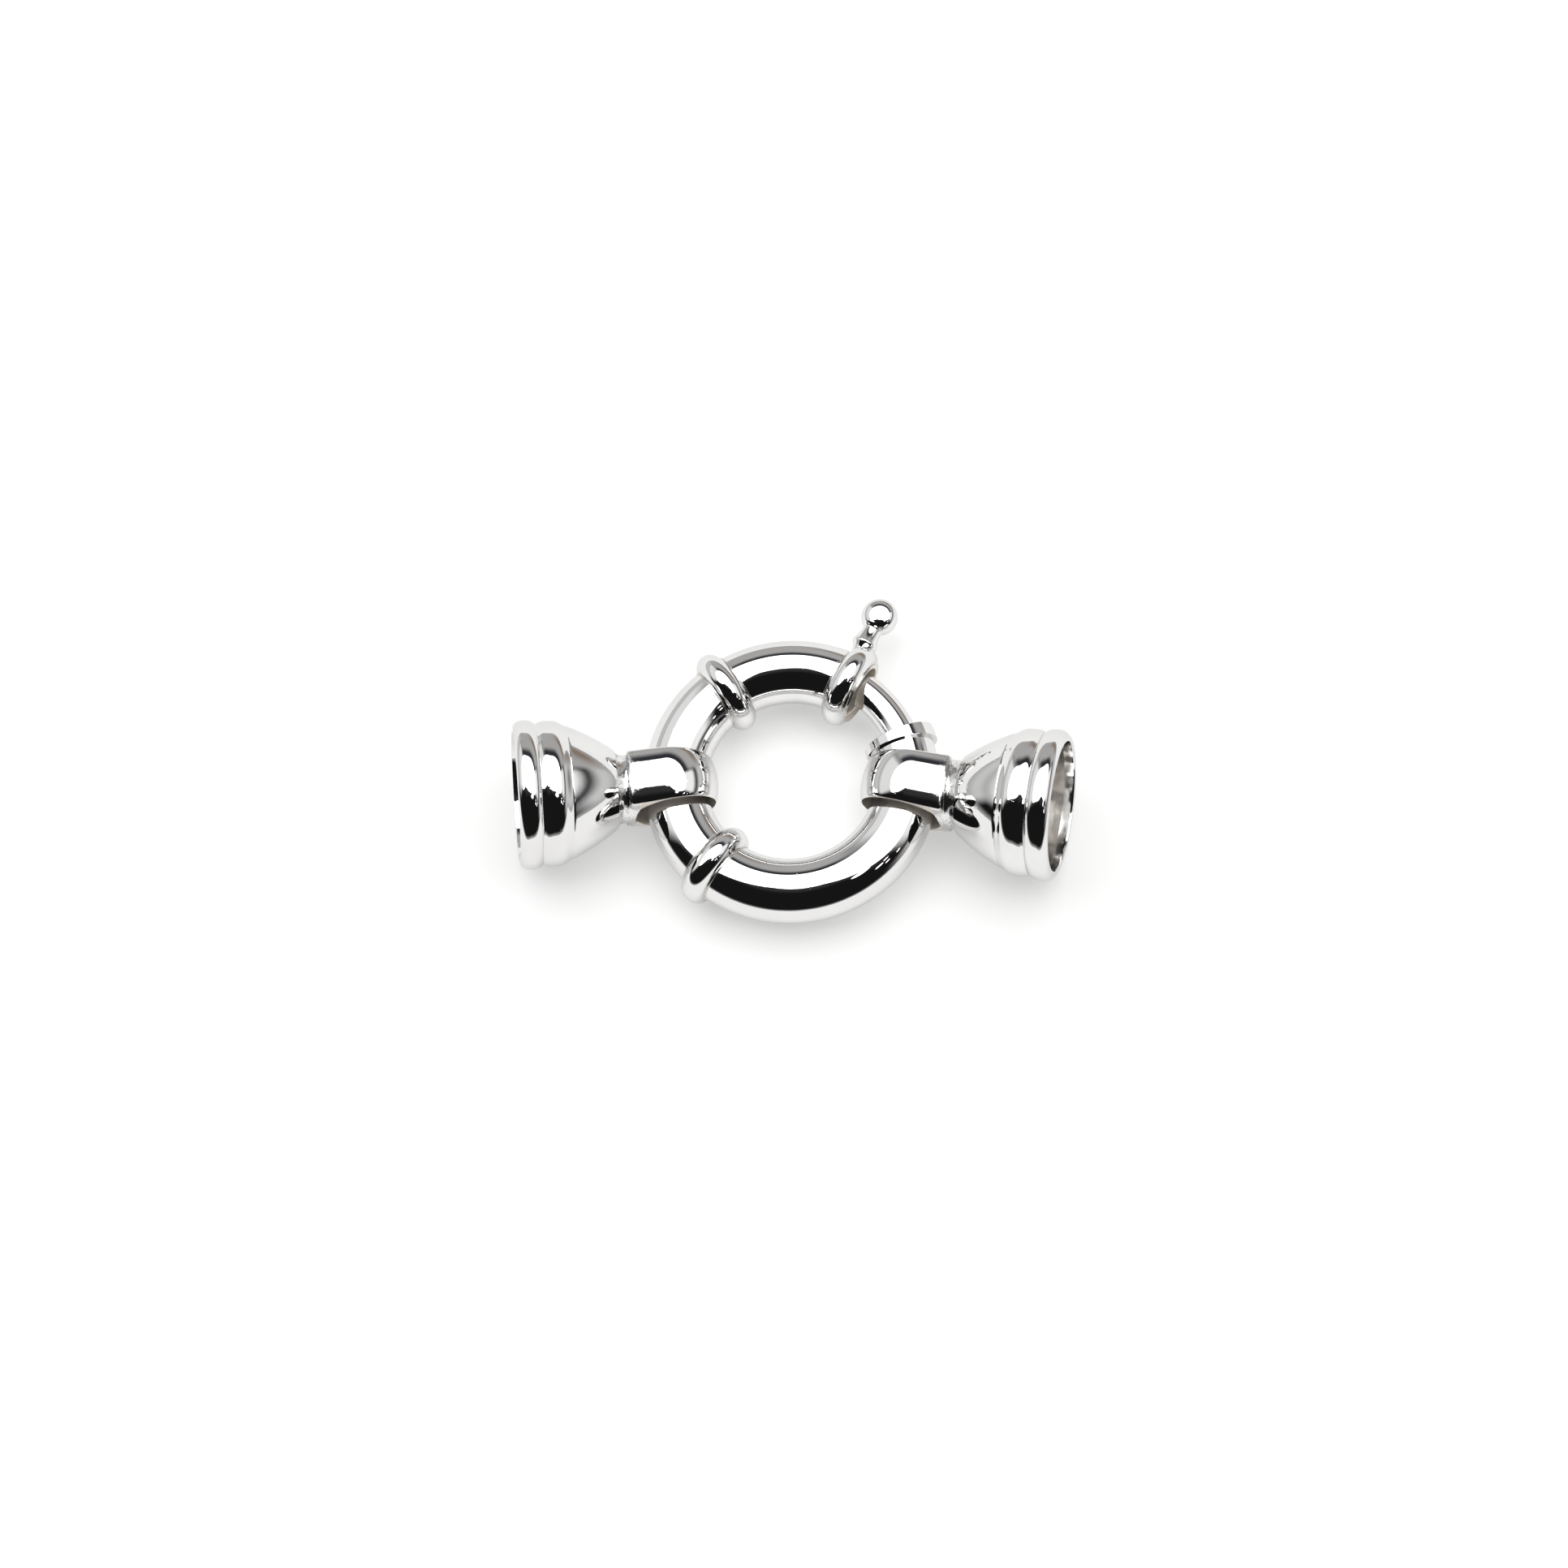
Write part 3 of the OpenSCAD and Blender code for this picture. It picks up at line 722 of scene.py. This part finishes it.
def in_degrees(operation, first, second=0.0):
    """An angle of the sky, worked out in radians by operation and turned into degrees."""
    return node_sum(sky_tree, "MULTIPLY", node_sum(sky_tree, operation, first, second), 180 / math.pi)


def sky_step(value, start, stop):
    """Rises softly from nought at start to one at stop, and falls if stop is the lesser."""
    node = sky_nodes.new("ShaderNodeMapRange")
    node.interpolation_type = "SMOOTHSTEP"
    node.inputs["From Min"].default_value = min(start, stop)
    node.inputs["From Max"].default_value = max(start, stop)
    node.inputs["To Min"].default_value = 0.0 if start < stop else 1.0
    node.inputs["To Max"].default_value = 1.0 if start < stop else 0.0
    sky_link(value, node.inputs["Value"])
    return node.outputs[0]


def over(tent, share, colour):
    """The sky with a colour laid over it by a share from nought to one."""
    return node_blend(sky_tree, share, tent, colour)


bearing = in_degrees("ARCTAN2", parts.outputs["X"], parts.outputs["Y"])
elevation = in_degrees("ARCSINE", parts.outputs["Z"])
doorway = node_sum(sky_tree, "ADD", sky_step(bearing, 102.0, 150.0), sky_step(bearing, -100.0, -130.0))
roof = node_sum(sky_tree, "ADD", node_sum(sky_tree, "MULTIPLY", doorway, DOORWAY), ROOF_EDGE)
above_roof = node_sum(sky_tree, "SUBTRACT", elevation, roof)
boards = [
    # left and right edge, each with its softness; the height that it is measured by, its bottom and its
    # top; and the share of the roof's light that it gives back
    ((-90, 7), (113, 15), elevation, (-20, 15), (0.21, 0.21, 0.21)),
    ((-98, 7), (-30, 8), elevation, (16, 95), (0.28, 0.28, 0.28)),
    ((60, 6), (106, 8), elevation, (24, 95), (0.33, 0.33, 0.33)),
    ((-28, 8), (57, 5), elevation, (-20, 95), (0.145, 0.143, 0.141)),
    ((8, 14), (48, 9), elevation, (-20, 13), (0.085, 0.066, 0.052)),
    ((-24, 7), (60, 4), above_roof, (-12, 30), (0.010, 0.011, 0.013)),
]
tent = over(ROOM_BLACK, sky_step(above_roof, -17.0, -6.0), ROOM_DIM)
for (left, left_blur), (right, right_blur), height, (bottom, top), shade in boards:
    across = node_sum(sky_tree, "MULTIPLY", sky_step(bearing, left - left_blur, left + left_blur),
                      sky_step(bearing, right + right_blur, right - right_blur))
    upright = node_sum(sky_tree, "MULTIPLY", sky_step(height, bottom - BOARD_BLUR, bottom + BOARD_BLUR),
                       sky_step(height, top + BOARD_BLUR, top - BOARD_BLUR))
    tent = over(tent, node_sum(sky_tree, "MULTIPLY", across, upright), shade)
tent = over(tent, sky_step(above_roof, -1.4, 1.0), WHITE)
tent = over(tent, sky_step(elevation, 7.0, -1.0), FAR_TABLE_EDGE)
for lamp_bearing, lamp_elevation, lamp_size in LAMPS:
    b = math.radians(lamp_bearing)
    e = math.radians(lamp_elevation)
    towards = sky_nodes.new("ShaderNodeVectorMath")
    towards.operation = "DOT_PRODUCT"
    sky_link(direction, towards.inputs[0])
    towards.inputs[1].default_value = (math.cos(e) * math.sin(b), math.cos(e) * math.cos(b), math.sin(e))
    edge = math.cos(math.radians(lamp_size))
    tent = over(tent, sky_step(towards.outputs["Value"], edge - (1 - edge) * 0.6, edge), LAMP_PINK)
tent = over(tent, sky_step(elevation, 0.5, -0.5), TABLE_GREY)
light = sky_nodes.new("ShaderNodeBackground")
sky_link(tent, light.inputs["Color"])
light.inputs["Strength"].default_value = TENT_LIGHT
backdrop = sky_nodes.new("ShaderNodeBackground")
backdrop.inputs["Color"].default_value = (*BACKDROP, 1.0)
backdrop.inputs["Strength"].default_value = 1.0
looked_at = sky_nodes.new("ShaderNodeLightPath")
chosen = sky_nodes.new("ShaderNodeMixShader")
sky_link(looked_at.outputs["Is Camera Ray"], chosen.inputs["Fac"])
sky_link(light.outputs[0], chosen.inputs[1])
sky_link(backdrop.outputs[0], chosen.inputs[2])
sky_out = sky_nodes.new("ShaderNodeOutputWorld")
sky_link(chosen.outputs[0], sky_out.inputs["Surface"])
bpy.context.scene.view_settings.view_transform = "Standard"

# Camera: above the front of the table, looking down at the ring's centre from a hand's width away.
CAMERA_ELEVATION = 71
CAMERA_ASIDE = 0.06
CAMERA_DISTANCE = 0.109
SENSOR = 36.0
FRAME_PIXELS = 1932
PIXELS_PER_MM = 20.24
SHIFT_PIXELS = (-8.5, -5.7)
view = np.array([CAMERA_ASIDE, -math.cos(math.radians(CAMERA_ELEVATION)),
                 math.sin(math.radians(CAMERA_ELEVATION))])
view /= np.linalg.norm(view)
right = np.array([1.0, 0.0, 0.0]) - view[0] * view
right /= np.linalg.norm(right)
up = np.cross(view, right)
camera_data = bpy.data.cameras.new("camera")
camera_data.sensor_width = SENSOR
camera_data.lens = SENSOR * PIXELS_PER_MM * CAMERA_DISTANCE / MM / FRAME_PIXELS
camera_data.shift_x = SHIFT_PIXELS[0] / FRAME_PIXELS
camera_data.shift_y = SHIFT_PIXELS[1] / FRAME_PIXELS
camera_data.clip_start = 0.001
camera = bpy.data.objects.new("camera", camera_data)
bpy.context.collection.objects.link(camera)
turn_matrix = np.eye(4)
turn_matrix[:3, 0] = right
turn_matrix[:3, 1] = up
turn_matrix[:3, 2] = view
turn_matrix[:3, 3] = view * CAMERA_DISTANCE
camera.matrix_world = Matrix(turn_matrix.tolist())
bpy.context.scene.camera = camera
